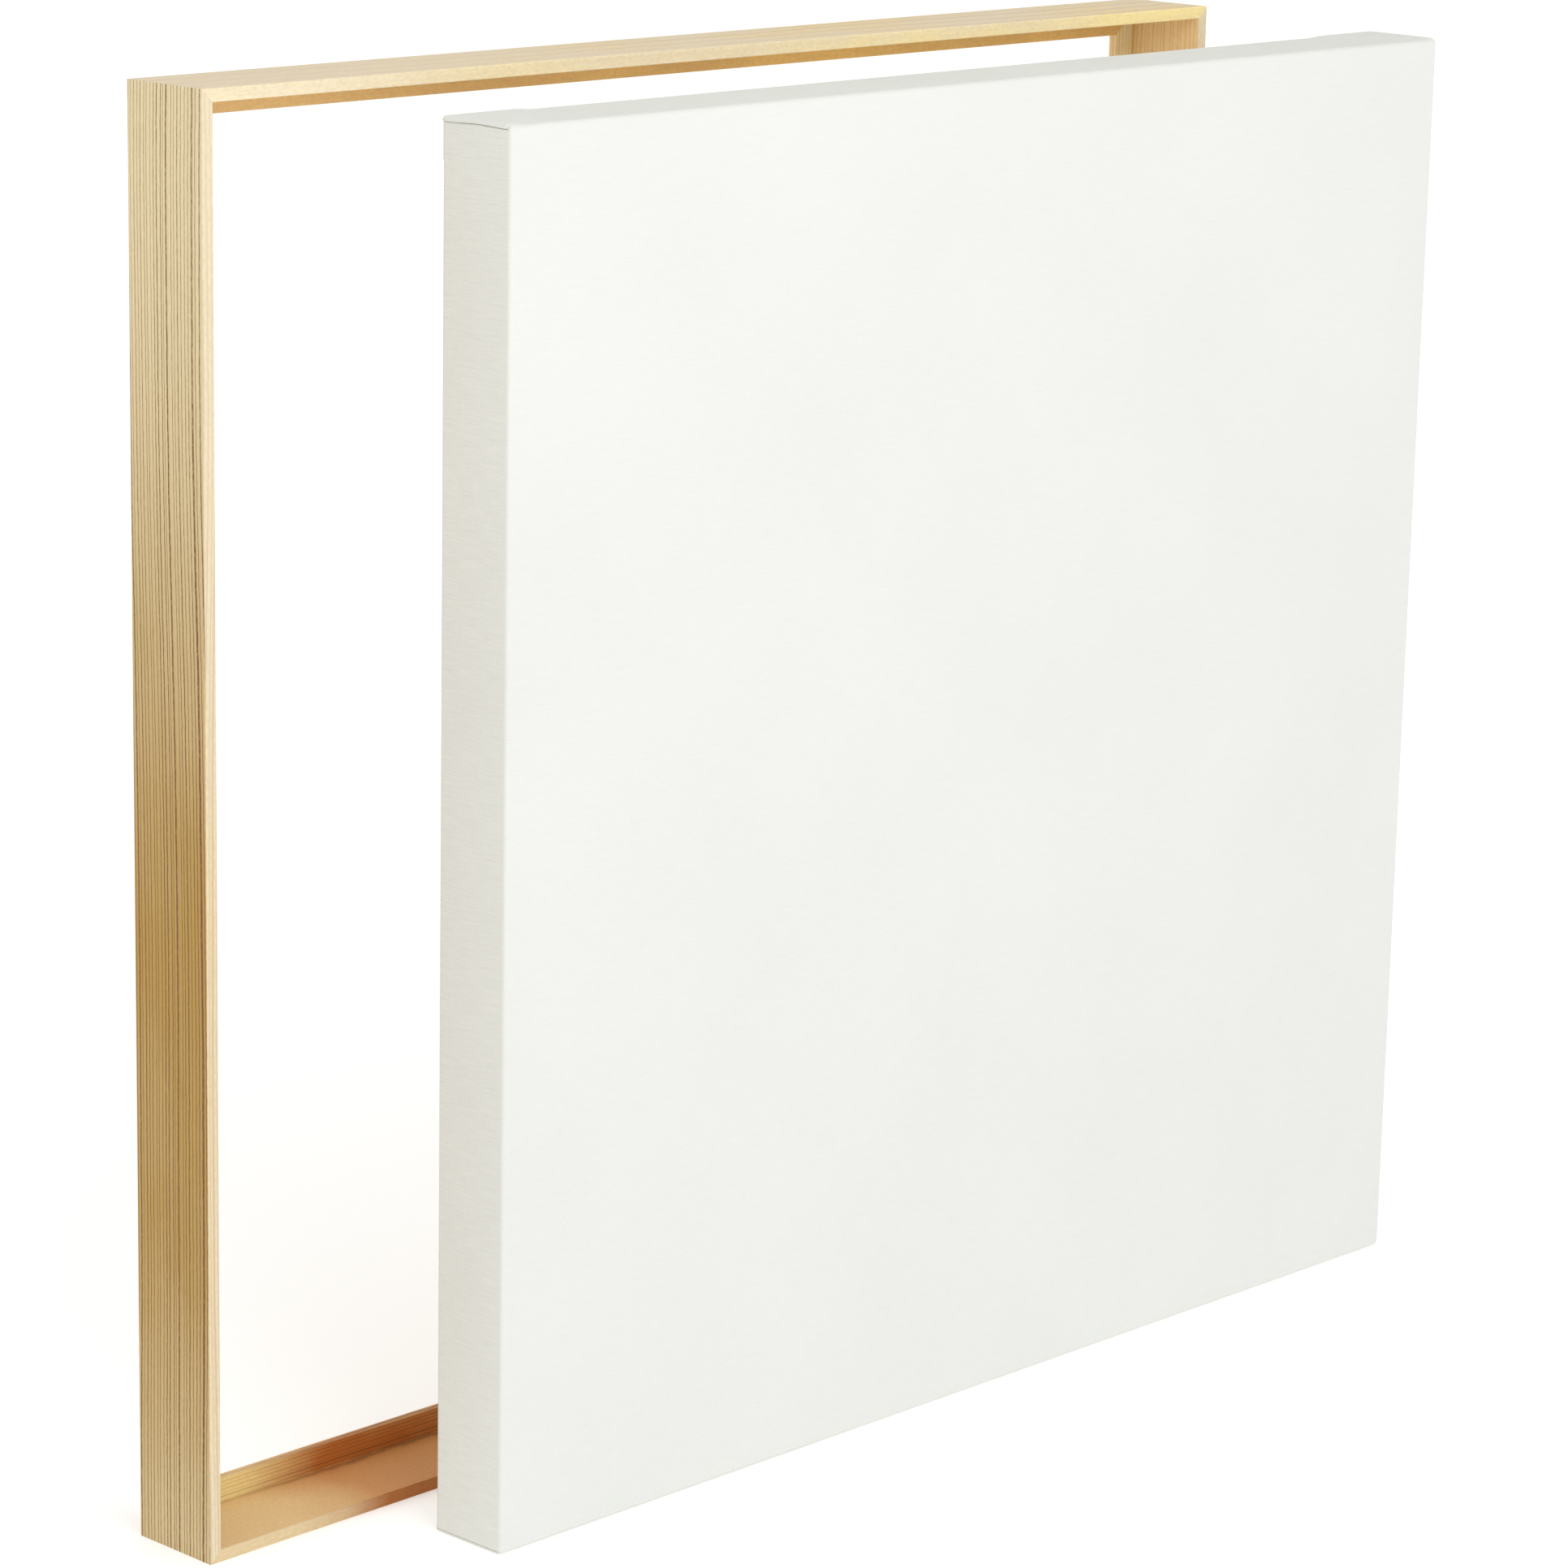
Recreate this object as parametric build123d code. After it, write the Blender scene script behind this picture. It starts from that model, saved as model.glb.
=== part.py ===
"""Stretched square canvas standing in front of the wooden tray frame that is made for it.

Frame: +Z up, the painted face of the canvas looks along -Y, +X to the right of somebody looking at it.
The origin is at the bottom centre of the whole arrangement's box. Both pieces stand on the plane z = 0.
Both are square, so each is built once about its own centre as a bottom side and turned for the other three.
"""

import os

from build123d import *

# Canvas over its cloth
CANVAS_SIDE = 600.0
CANVAS_DEPTH = 40.0
FACE_CLOTH = 0.4  # cloth on the front and the back
SIDE_CLOTH = 1.0  # room for the three layers that lie on each other where the corners are folded
EDGE_RADIUS = 3.0  # outside of the cloth where it turns over the bars
CORE_RADIUS = 2.4  # the bars' rounded outer edges
TURN_OVER = 17.0  # cloth folded onto the back of the bars

# Stretcher bars: the front falls away from a bead, so that only the bead touches the cloth
BAR_WIDTH = 22.0
BEAD_WIDTH = 5.0
FRONT_FALL = 3.0

# Corner joints: every bar end has a tongue at one depth and a slot at another
JOINT_SHOULDER = 4.0  # wood left between a slot and the bar's outer face
SLOT_THICKNESS = 4.2
TONGUE_THICKNESS = 3.9
TONGUE_END_GAP = 0.4
KEY_MOUTH = 7.5  # width of the slot beside the tongue, where the key goes
FRONT_SLOT_DEPTH = 10.0  # centre of the slots in the top and bottom bars, behind the bead
REAR_SLOT_DEPTH = 25.0  # centre of the slots in the left and right bars, behind the bead

# Corner keys: tapered wedges with one straight edge
KEY_LENGTH = 32.0
KEY_THICKNESS = 3.6
KEY_TIP = 3.0
KEY_HEEL = 12.0
KEY_DRIVEN = 14.5
KEY_SIDE_GAP = 0.1

# Staples that hold the turned-over cloth
STAPLE_CROWN = 10.0
STAPLE_LEG = 8.0
STAPLE_WIRE_WIDTH = 1.2
STAPLE_WIRE_THICKNESS = 0.6
STAPLE_PROUD = 0.4
STAPLE_INSET = 9.0
STAPLE_PITCH = 50.0
STAPLES_PER_BAR = 11

# Tray frame: an L-section rail with a thin outer wall and a lip along the back
FRAME_GAP = 1.0  # all round between the canvas and the frame's walls when it is fitted
WALL = 5.5
FRAME_DEPTH = 46.0
LIP_WIDTH = 10.6
LIP_THICKNESS = 4.3
EASED_EDGE = 0.4
FRAME_SIDE = CANVAS_SIDE + 2 * (FRAME_GAP + WALL)

# Corner nails: a folded strip driven into the back of each mitre
NAIL_LEG = 6.0
NAIL_STRIP = 0.5
NAIL_HEIGHT = 8.0
NAIL_INSET = 2.4

# How the two stand: the frame is behind the canvas and shifted to the left
FRAME_LEFT_OF_CANVAS = 93.5
FRAME_BEHIND_CANVAS = 75.5

TOTAL_WIDTH = FRAME_LEFT_OF_CANVAS + CANVAS_SIDE
TOTAL_DEPTH = FRAME_BEHIND_CANVAS + FRAME_DEPTH
CANVAS_FRONT = -TOTAL_DEPTH / 2
FRAME_FRONT = CANVAS_FRONT + FRAME_BEHIND_CANVAS
CANVAS_PLACE = Pos(TOTAL_WIDTH / 2 - CANVAS_SIDE / 2, CANVAS_FRONT, CANVAS_SIDE / 2)
FRAME_PLACE = Pos(FRAME_SIDE / 2 - TOTAL_WIDTH / 2, FRAME_FRONT, FRAME_SIDE / 2)

# Turn about Y that takes a bottom side to each side, and where its left and right ends go
SIDES = {
    "bottom": (0, ("left", "right")),
    "left": (90, ("top", "bottom")),
    "top": (180, ("right", "left")),
    "right": (270, ("bottom", "top")),
}

CORE_HALF = CANVAS_SIDE / 2 - SIDE_CLOTH  # half the bars' outside width
BAR_INNER = CORE_HALF - BAR_WIDTH  # from the centre to a bar's inner edge
BAR_BACK = CANVAS_DEPTH - FACE_CLOTH


def box_between(low, high):
    """Box with the given lowest and highest corners."""
    size = [b - a for a, b in zip(low, high)]
    middle = [(a + b) / 2 for a, b in zip(low, high)]
    return Pos(*middle) * Box(*size)


def rounded_block(half, front, back, radius):
    """Square block about the Y axis with all its edges rounded."""
    block = box_between((-half, front, -half), (half, back, half))
    return fillet(block.edges(), radius)


def mitred_bottom(section, half, width, depth):
    """Bottom side of a square: the section, given as (depth, height above the outside), run along X, cut at 45."""
    outline = Polyline([(-half, y, z - half) for y, z in section], close=True)
    run = extrude(make_face(outline), amount=2 * half, dir=(1, 0, 0))
    corners = [(-half, -half), (half, -half), (half - width, width - half), (width - half, width - half)]
    mitre = Polyline([(x, 0, z) for x, z in corners], close=True)
    return run & extrude(make_face(mitre), amount=depth, dir=(0, 1, 0))


def at_both_ends(piece):
    """The piece, made for the left end of a bottom bar, and its mirror image at the right end."""
    return [piece, mirror(piece, Plane.YZ)]


def level(slot_depth, thickness):
    """Front and back of a slot, tongue or key of this thickness, centred at this depth behind the bead."""
    middle = FACE_CLOTH + slot_depth
    return middle - thickness / 2, middle + thickness / 2


def slot(slot_depth):
    """Space for the neighbouring bar's tongue and, beside it, for a key. It is open towards the centre."""
    front, back = level(slot_depth, SLOT_THICKNESS)
    low = (-CORE_HALF, front, JOINT_SHOULDER - CORE_HALF)
    high = (KEY_MOUTH - BAR_INNER, back, 1 - BAR_INNER)
    return box_between(low, high)


def tongue(slot_depth):
    """Tongue that crosses the mitre into the neighbouring bar's slot."""
    front, back = level(slot_depth, TONGUE_THICKNESS)
    low = (JOINT_SHOULDER + TONGUE_END_GAP - CORE_HALF, front, -CORE_HALF)
    high = (-BAR_INNER, back, -BAR_INNER)
    return box_between(low, high)


def stretcher_bar(slot_depth, tongue_depth, core):
    """Bottom bar with a bead along its outer front edge and a slot and a tongue at each end."""
    section = [
        (FACE_CLOTH, 0),
        (FACE_CLOTH, BEAD_WIDTH),
        (FACE_CLOTH + FRONT_FALL, BAR_WIDTH),
        (BAR_BACK, BAR_WIDTH),
        (BAR_BACK, 0),
    ]
    bar = mitred_bottom(section, CORE_HALF, BAR_WIDTH, CANVAS_DEPTH)
    for cut in at_both_ends(slot(slot_depth)):
        bar -= cut
    for added in at_both_ends(tongue(tongue_depth)):
        bar += added
    return bar & core


def corner_key(slot_depth):
    """Wedge in the slot at the left end of a bottom bar: its straight edge lies along the neighbouring bar."""
    front, _ = level(slot_depth, KEY_THICKNESS)
    left = KEY_SIDE_GAP - BAR_INNER
    tip = -BAR_INNER - KEY_DRIVEN
    heel = tip + KEY_LENGTH
    corners = [(left, tip), (left + KEY_TIP, tip), (left + KEY_HEEL, heel), (left, heel)]
    outline = Polyline([(x, front, z) for x, z in corners], close=True)
    return extrude(make_face(outline), amount=KEY_THICKNESS, dir=(0, 1, 0))


def canvas_cloth(core):
    """Cloth round the front, the four sides and the outer band of the back."""
    outside = rounded_block(CANVAS_SIDE / 2, 0, CANVAS_DEPTH, EDGE_RADIUS)
    open_half = CANVAS_SIDE / 2 - TURN_OVER
    open_back = box_between((-open_half, BAR_BACK - 1, -open_half), (open_half, CANVAS_DEPTH + 1, open_half))
    return outside - core - open_back


def staple():
    """Staple with its crown's underside at y = 0 and its legs driven towards the front."""
    half_crown = STAPLE_CROWN / 2
    half_wire = STAPLE_WIRE_WIDTH / 2
    wire = box_between(
        (-half_crown, 0, -half_wire),
        (half_crown, STAPLE_WIRE_THICKNESS, half_wire),
    )
    for side in (-1, 1):
        leg_middle = side * (half_crown - STAPLE_WIRE_THICKNESS / 2)
        wire += box_between(
            (leg_middle - STAPLE_WIRE_THICKNESS / 2, -STAPLE_LEG, -half_wire),
            (leg_middle + STAPLE_WIRE_THICKNESS / 2, STAPLE_WIRE_THICKNESS, half_wire),
        )
    return wire


def staple_row():
    """Staples along the back of a bottom bar."""
    underside = CANVAS_DEPTH + STAPLE_PROUD - STAPLE_WIRE_THICKNESS
    height = STAPLE_INSET - CANVAS_SIDE / 2
    first = -STAPLE_PITCH * (STAPLES_PER_BAR - 1) / 2
    return [Pos(first + i * STAPLE_PITCH, underside, height) * staple() for i in range(STAPLES_PER_BAR)]


def frame_rail():
    """Bottom rail of the tray frame, with its long edges slightly eased."""
    section = [
        (0, 0),
        (0, WALL),
        (FRAME_DEPTH - LIP_THICKNESS, WALL),
        (FRAME_DEPTH - LIP_THICKNESS, WALL + LIP_WIDTH),
        (FRAME_DEPTH, WALL + LIP_WIDTH),
        (FRAME_DEPTH, 0),
    ]
    rail = mitred_bottom(section, FRAME_SIDE / 2, WALL + LIP_WIDTH, FRAME_DEPTH)
    long_edges = rail.edges().filter_by(Axis.X)
    return fillet(long_edges, EASED_EDGE)


def corner_nail():
    """Folded strip across the mitre at the left end of a bottom rail, flush with the frame's back."""
    outer = NAIL_INSET - FRAME_SIDE / 2
    front = FRAME_DEPTH - NAIL_HEIGHT
    along = box_between(
        (outer, front, outer),
        (outer + NAIL_LEG, FRAME_DEPTH, outer + NAIL_STRIP),
    )
    upright = box_between(
        (outer, front, outer),
        (outer + NAIL_STRIP, FRAME_DEPTH, outer + NAIL_LEG),
    )
    return along + upright


def canvas_nodes():
    """Every node of the stretched canvas."""
    core = rounded_block(CORE_HALF, FACE_CLOTH, BAR_BACK, CORE_RADIUS)
    nodes = {"canvas_cloth": CANVAS_PLACE * canvas_cloth(core)}
    for side, (turn, ends) in SIDES.items():
        upright = side in ("left", "right")
        slot_depth = REAR_SLOT_DEPTH if upright else FRONT_SLOT_DEPTH
        tongue_depth = FRONT_SLOT_DEPTH if upright else REAR_SLOT_DEPTH
        place = CANVAS_PLACE * Rot(0, turn, 0)
        nodes[f"stretcher_bar_{side}"] = place * stretcher_bar(slot_depth, tongue_depth, core)
        nodes[f"staples_{side}"] = Compound(children=[place * one for one in staple_row()])
        for end, key in zip(ends, at_both_ends(corner_key(slot_depth))):
            nodes[f"corner_key_{side}_bar_{end}"] = place * key
    return nodes


def frame_nodes():
    """Every node of the tray frame."""
    nodes = {}
    nails = []
    for side, (turn, _) in SIDES.items():
        place = FRAME_PLACE * Rot(0, turn, 0)
        nodes[f"frame_rail_{side}"] = place * frame_rail()
        nails.append(place * corner_nail())
    nodes["frame_corner_nails"] = Compound(children=nails)
    return nodes


def main():
    """Write one STEP file for each node."""
    os.makedirs("parts", exist_ok=True)
    for name, shape in {**canvas_nodes(), **frame_nodes()}.items():
        export_step(shape, f"parts/{name}.step")


main()
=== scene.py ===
"""Looks of the stretched canvas and its pine tray frame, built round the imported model. Metres, +Z up."""

import math
from collections import namedtuple

import bpy
import numpy as np
from mathutils import Matrix, Vector


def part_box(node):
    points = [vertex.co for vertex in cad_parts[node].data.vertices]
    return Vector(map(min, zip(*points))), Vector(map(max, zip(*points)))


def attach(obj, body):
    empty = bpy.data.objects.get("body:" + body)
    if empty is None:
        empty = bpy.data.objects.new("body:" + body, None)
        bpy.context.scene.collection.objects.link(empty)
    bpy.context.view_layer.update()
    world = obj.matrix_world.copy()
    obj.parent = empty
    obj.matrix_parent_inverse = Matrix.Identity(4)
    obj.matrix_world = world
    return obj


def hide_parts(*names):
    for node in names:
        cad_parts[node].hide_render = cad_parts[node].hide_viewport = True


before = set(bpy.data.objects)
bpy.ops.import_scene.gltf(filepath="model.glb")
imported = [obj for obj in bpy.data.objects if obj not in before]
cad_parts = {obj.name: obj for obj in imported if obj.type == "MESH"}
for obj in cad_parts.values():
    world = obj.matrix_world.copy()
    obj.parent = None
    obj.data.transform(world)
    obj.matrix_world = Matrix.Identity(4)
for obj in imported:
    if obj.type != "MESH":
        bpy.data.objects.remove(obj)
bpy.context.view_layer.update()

MM = 0.001
SIDES = ("top", "bottom", "left", "right")

# ---------------------------------------------------------------- sizes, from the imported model

cloth_low, cloth_high = (np.array(corner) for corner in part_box("canvas_cloth"))
canvas_middle = (cloth_low + cloth_high) / 2
rails = [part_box(f"frame_rail_{side}") for side in SIDES]
rails_low = np.array([low for low, _ in rails]).min(axis=0)
rails_high = np.array([high for _, high in rails]).max(axis=0)
frame_middle = ((rails_low + rails_high) / 2).tolist()
frame_half = ((rails_high - rails_low) / 2).tolist()
LIP_DEPTH = 4.3 * MM  # front face of the frame's lip, from the back
FACE_COLOUR_OVERLAP = 0.35 * MM  # how far the colour of one face goes over an edge of the frame

LAYER = 0.33 * MM  # from one layer of folded cloth to the next
PRESSED = 0.08 * MM  # the same on the back, where the staples pull the layers together
CLOTH = 0.30 * MM  # thickness of the primed cloth
FRONT_RADIUS = 1.8 * MM  # of the bends, at the middle of the cloth
BACK_RADIUS = 1.2 * MM
TURN_OVER = 17 * MM  # cloth on the back of the bars
LAYER_EASE = 3 * MM  # over which added layers of cloth come up from nothing
BACK_EASE = 2 * MM  # the same past the bend onto the back
FLAP_EASE = 9 * MM  # the same from the edge of the corner's folded triangle

# At the top corners the folded edge of the top side laps over the left and right sides,
# by LAP + LAP_WAVE * sin(place along the depth / LAP_WAVE_RUN + LAP_PHASE), from nothing at the front edge
LAP = 1.1 * MM
LAP_WAVE = 0.22 * MM
LAP_WAVE_RUN = 5.5 * MM
LAP_PHASE = 1.3
LAP_STARTS = 0.27 * MM
LAP_IS_FULL = 2.97 * MM

# The box that the middle of the innermost layer is wrapped round
SIDE_ROOM = 1.0 * MM
wrap_half = (cloth_high[0] - cloth_low[0]) / 2 - SIDE_ROOM + LAYER / 2
wrap_front = cloth_low[1] + CLOTH / 2
wrap_depth = cloth_high[1] - CLOTH / 2 - wrap_front


# ---------------------------------------------------------------- mesh helpers

def smooth(t):
    """Smooth step of a whole array: 0 up to t = 0, 1 from t = 1, 3t^2 - 2t^3 between."""
    t = np.clip(t, 0.0, 1.0)
    return t * t * (3 - 2 * t)


def link(obj):
    bpy.context.scene.collection.objects.link(obj)
    return obj


def mesh_object(name, points, faces, material, uv=None):
    """Object from an array of points and one of triangles or quads, with a UV for each point if given."""
    mesh = bpy.data.meshes.new(name)
    mesh.from_pydata(points, [], faces)
    mesh.polygons.foreach_set("use_smooth", np.ones(len(faces), bool))
    if uv is not None:
        layer = mesh.uv_layers.new(name="cut")
        loops = np.zeros(len(mesh.loops), np.int32)
        mesh.loops.foreach_get("vertex_index", loops)
        layer.uv.foreach_set("vector", uv[loops].astype(np.float32).ravel())
    mesh.materials.append(material)
    mesh.update()
    return link(bpy.data.objects.new(name, mesh))


# ---------------------------------------------------------------- node helpers

def linear(red, green, blue):
    """Linear colour of an sRGB colour given from 0 to 255."""
    values = []
    for value in (red, green, blue):
        v = value / 255
        values.append(v / 12.92 if v <= 0.04045 else ((v + 0.055) / 1.055) ** 2.4)
    return (*values, 1.0)


class Nodes:
    """Short calls for making and wiring shader nodes in one tree."""

    def __init__(self, tree):
        self.tree = tree

    def put(self, target, value):
        if isinstance(value, bpy.types.NodeSocket):
            self.tree.links.new(value, target)
        elif value is not None:
            target.default_value = value

    def node(self, kind, **settings):
        made = self.tree.nodes.new(kind)
        for name, value in settings.items():
            setattr(made, name, value)
        return made

    def math(self, operation, a, b=None, c=None, clamp=False):
        made = self.node("ShaderNodeMath", operation=operation, use_clamp=clamp)
        for target, value in zip(made.inputs, (a, b, c)):
            self.put(target, value)
        return made.outputs[0]

    def vector(self, operation, a, b=None):
        made = self.node("ShaderNodeVectorMath", operation=operation)
        self.put(made.inputs[0], a)
        self.put(made.inputs[1], b)
        return made.outputs["Value" if operation in ("LENGTH", "DOT_PRODUCT") else "Vector"]

    def split(self, vector):
        made = self.node("ShaderNodeSeparateXYZ")
        self.put(made.inputs[0], vector)
        return made.outputs

    def join(self, x, y, z):
        made = self.node("ShaderNodeCombineXYZ")
        for target, value in zip(made.inputs, (x, y, z)):
            self.put(target, value)
        return made.outputs[0]

    def noise(self, vector, scale, detail=2.0, roughness=0.5, dimensions="3D", w=None):
        made = self.node("ShaderNodeTexNoise", noise_dimensions=dimensions)
        if dimensions != "1D":
            self.put(made.inputs["Vector"], vector)
        if w is not None:
            self.put(made.inputs["W"], w)
        self.put(made.inputs["Scale"], scale)
        self.put(made.inputs["Detail"], detail)
        self.put(made.inputs["Roughness"], roughness)
        return made.outputs["Fac"]

    def ramp(self, value, low, high, to_low=0.0, to_high=1.0):
        made = self.node("ShaderNodeMapRange", interpolation_type="SMOOTHSTEP")
        for target, given in zip(made.inputs, (value, low, high, to_low, to_high)):
            self.put(target, given)
        return made.outputs[0]

    def mix(self, share, a, b, blend="MIX"):
        made = self.node("ShaderNodeMix", data_type="RGBA", blend_type=blend)
        self.put(made.inputs["Factor"], share)
        self.put(made.inputs["A"], a)
        self.put(made.inputs["B"], b)
        return made.outputs["Result"]


def new_group(name, inputs, outputs):
    """Shader node group with named sockets; gives the group, its Nodes and its input and output nodes."""
    group = bpy.data.node_groups.new(name, "ShaderNodeTree")
    for label, kind, default in inputs:
        socket = group.interface.new_socket(label, in_out="INPUT", socket_type=kind)
        if default is not None:
            socket.default_value = default
    for label, kind in outputs:
        group.interface.new_socket(label, in_out="OUTPUT", socket_type=kind)
    n = Nodes(group)
    return group, n, n.node("NodeGroupInput").outputs, n.node("NodeGroupOutput").inputs


def new_material(name, roughness=0.6, metallic=0.0, specular=0.5):
    """Material with a Principled shader; gives the material, its Nodes and the shader."""
    material = bpy.data.materials.new(name)
    material.use_nodes = True
    n = Nodes(material.node_tree)
    shader = material.node_tree.nodes["Principled BSDF"]
    shader.inputs["Roughness"].default_value = roughness
    shader.inputs["Metallic"].default_value = metallic
    shader.inputs["Specular IOR Level"].default_value = specular
    return material, n, shader


def place_group(n, group, **values):
    """The group in a material, with values for its inputs; underscores in names stand for spaces."""
    made = n.node("ShaderNodeGroup", node_tree=group)
    for name, value in values.items():
        n.put(made.inputs[name.replace("_", " ")], value)
    return made.outputs


def bump(n, shader, height, distance):
    made = n.node("ShaderNodeBump")
    made.inputs["Distance"].default_value = distance
    n.put(made.inputs["Height"], height)
    n.put(shader.inputs["Normal"], made.outputs[0])


# ---------------------------------------------------------------- node groups

def make_pine_group():
    """Softwood cut from a log along Z: rings round the pith, a dark edge on each, fibres and resin ducts."""
    group, n, given, out = new_group(
        "pine_wood",
        [
            ("Place", "NodeSocketVector", None),
            ("Pith X", "NodeSocketFloat", 0.0),
            ("Pith Y", "NodeSocketFloat", -0.15),
            ("Ring Width", "NodeSocketFloat", 0.003),
            ("Wander", "NodeSocketFloat", 0.002),
            ("Early Wood", "NodeSocketColor", linear(225, 205, 160)),
            ("Late Wood", "NodeSocketColor", linear(180, 140, 90)),
            ("Warm Tint", "NodeSocketColor", linear(205, 160, 100)),
            ("Line Strength", "NodeSocketFloat", 0.8),
            ("Tint Strength", "NodeSocketFloat", 0.5),
            ("Tint Patches", "NodeSocketFloat", 0.35),
        ],
        [("Color", "NodeSocketColor"), ("Roughness", "NodeSocketFloat"), ("Height", "NodeSocketFloat")],
    )
    x, y, along = n.split(given["Place"])

    def stretched(across_scale, along_scale):
        return n.join(*(n.math("MULTIPLY", axis, scale) for axis, scale in
                        ((x, across_scale), (y, across_scale), (along, along_scale))))

    # distance from the pith, bent slowly along the log and rippled along the fibres
    drift = n.math("SUBTRACT", n.noise(stretched(8.0, 3.6), 1.0, 1.0), 0.5)
    ripple = n.math("SUBTRACT", n.noise(stretched(130.0, 150.0), 1.0, 1.0), 0.5)
    wander = n.math("MULTIPLY", given["Wander"], 4.0)
    bent = n.math("MULTIPLY", n.math("MULTIPLY_ADD", ripple, 0.05, drift), wander)
    across = n.join(n.math("SUBTRACT", x, given["Pith X"]), n.math("SUBTRACT", y, given["Pith Y"]), 0.0)
    radius = n.math("ADD", n.vector("LENGTH", across), bent)
    rings = n.math("DIVIDE", radius, given["Ring Width"])
    rings = n.math("MULTIPLY_ADD", n.noise(None, 0.6, 1.0, dimensions="1D", w=rings), 1.1, rings)
    phase = n.math("FRACT", rings)

    # each year's line rises to a darkness of its own and ends sharply
    own = n.node("ShaderNodeTexWhiteNoise", noise_dimensions="1D")
    n.put(own.inputs["W"], n.math("FLOOR", rings))
    darkness = n.math("MULTIPLY_ADD", own.outputs["Value"], 0.55, 0.45)
    slow_rise = n.math("MULTIPLY", n.ramp(phase, 0.30, 0.85), 0.10)
    line = n.math("MULTIPLY", n.ramp(phase, 0.66, 0.87), darkness)
    rise = n.math("MULTIPLY_ADD", line, 0.90, slow_rise)
    late = n.math("MULTIPLY", rise, n.ramp(phase, 0.93, 1.0, 1.0, 0.0))

    fibre = n.noise(stretched(2600.0, 60.0), 1.0, 3.0, 0.6)
    fleck = n.noise(stretched(900.0, 420.0), 1.0, 2.0, 0.6)
    duct = n.ramp(n.noise(stretched(1300.0, 55.0), 1.0, 0.0), 0.72, 0.84)
    cloud = n.ramp(n.noise(stretched(20.0, 9.0), 1.0, 3.0), 0.36, 0.66)

    line_share = n.math("MULTIPLY", late, given["Line Strength"], clamp=True)
    line_share = n.math("MULTIPLY", line_share, n.ramp(fleck, 0.3, 0.65, 0.65, 1.2), clamp=True)
    untinted = n.math("MULTIPLY", given["Tint Patches"], n.math("SUBTRACT", 1.0, cloud))
    patches = n.math("SUBTRACT", 1.0, untinted)
    tint_share = n.math("MULTIPLY", patches, given["Tint Strength"], clamp=True)
    tinted = n.mix(tint_share, given["Early Wood"], given["Warm Tint"])
    lined = n.mix(line_share, tinted, given["Late Wood"])
    fibred = n.mix(1.0, lined, n.mix(fibre, (0.94, 0.93, 0.91, 1), (1.04, 1.04, 1.04, 1)), "MULTIPLY")
    flecked = n.mix(1.0, fibred, n.mix(fleck, (0.83, 0.80, 0.76, 1), (1.11, 1.12, 1.14, 1)), "MULTIPLY")
    n.put(out["Color"], n.mix(n.math("MULTIPLY", duct, 0.12), flecked, given["Late Wood"]))
    n.put(out["Roughness"], n.ramp(late, 0.0, 1.0, 0.62, 0.50))
    height = n.math("MULTIPLY_ADD", fibre, 0.3, n.math("MULTIPLY", late, 0.15))
    height = n.math("MULTIPLY_ADD", fleck, 0.25, height)
    n.put(out["Height"], n.math("SUBTRACT", height, n.math("MULTIPLY", duct, 0.3)))
    return group


def make_weave_group():
    """Plain weave: warp and weft cross over and under each other, and the threads are uneven."""
    group, n, given, out = new_group(
        "plain_weave",
        [
            ("Flat Place", "NodeSocketVector", None),
            ("Threads", "NodeSocketFloat", 2000.0),
            ("Slub", "NodeSocketFloat", 0.5),
        ],
        [("Height", "NodeSocketFloat"), ("Shade", "NodeSocketFloat")],
    )
    x, y, _ = n.split(given["Flat Place"])
    count_x = n.math("MULTIPLY", x, given["Threads"])
    count_y = n.math("MULTIPLY", y, given["Threads"])
    over = n.math("MULTIPLY", n.math("COSINE", n.math("MULTIPLY", count_x, math.pi)),
                  n.math("COSINE", n.math("MULTIPLY", count_y, math.pi)))
    from_thread_to_thread = 0.9
    along_thread = 0.035
    weft_place = n.join(n.math("MULTIPLY", count_x, along_thread),
                        n.math("MULTIPLY", count_y, from_thread_to_thread), 0.0)
    warp_place = n.join(n.math("MULTIPLY", count_x, from_thread_to_thread),
                        n.math("MULTIPLY", count_y, along_thread), 7.0)
    weft = n.noise(weft_place, 1.0, 2.0)
    warp = n.noise(warp_place, 1.0, 2.0)
    threads = n.math("ADD", n.math("MULTIPLY", weft, 1.5), n.math("MULTIPLY", warp, 0.5))
    slub = n.math("MULTIPLY", n.math("SUBTRACT", threads, 1.0), given["Slub"])
    n.put(out["Height"], n.math("MULTIPLY_ADD", over, 0.25, n.math("ADD", slub, 0.5)))
    n.put(out["Shade"], n.math("MULTIPLY_ADD", over, 0.12, n.math("ADD", slub, 0.5)))
    return group


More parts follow.
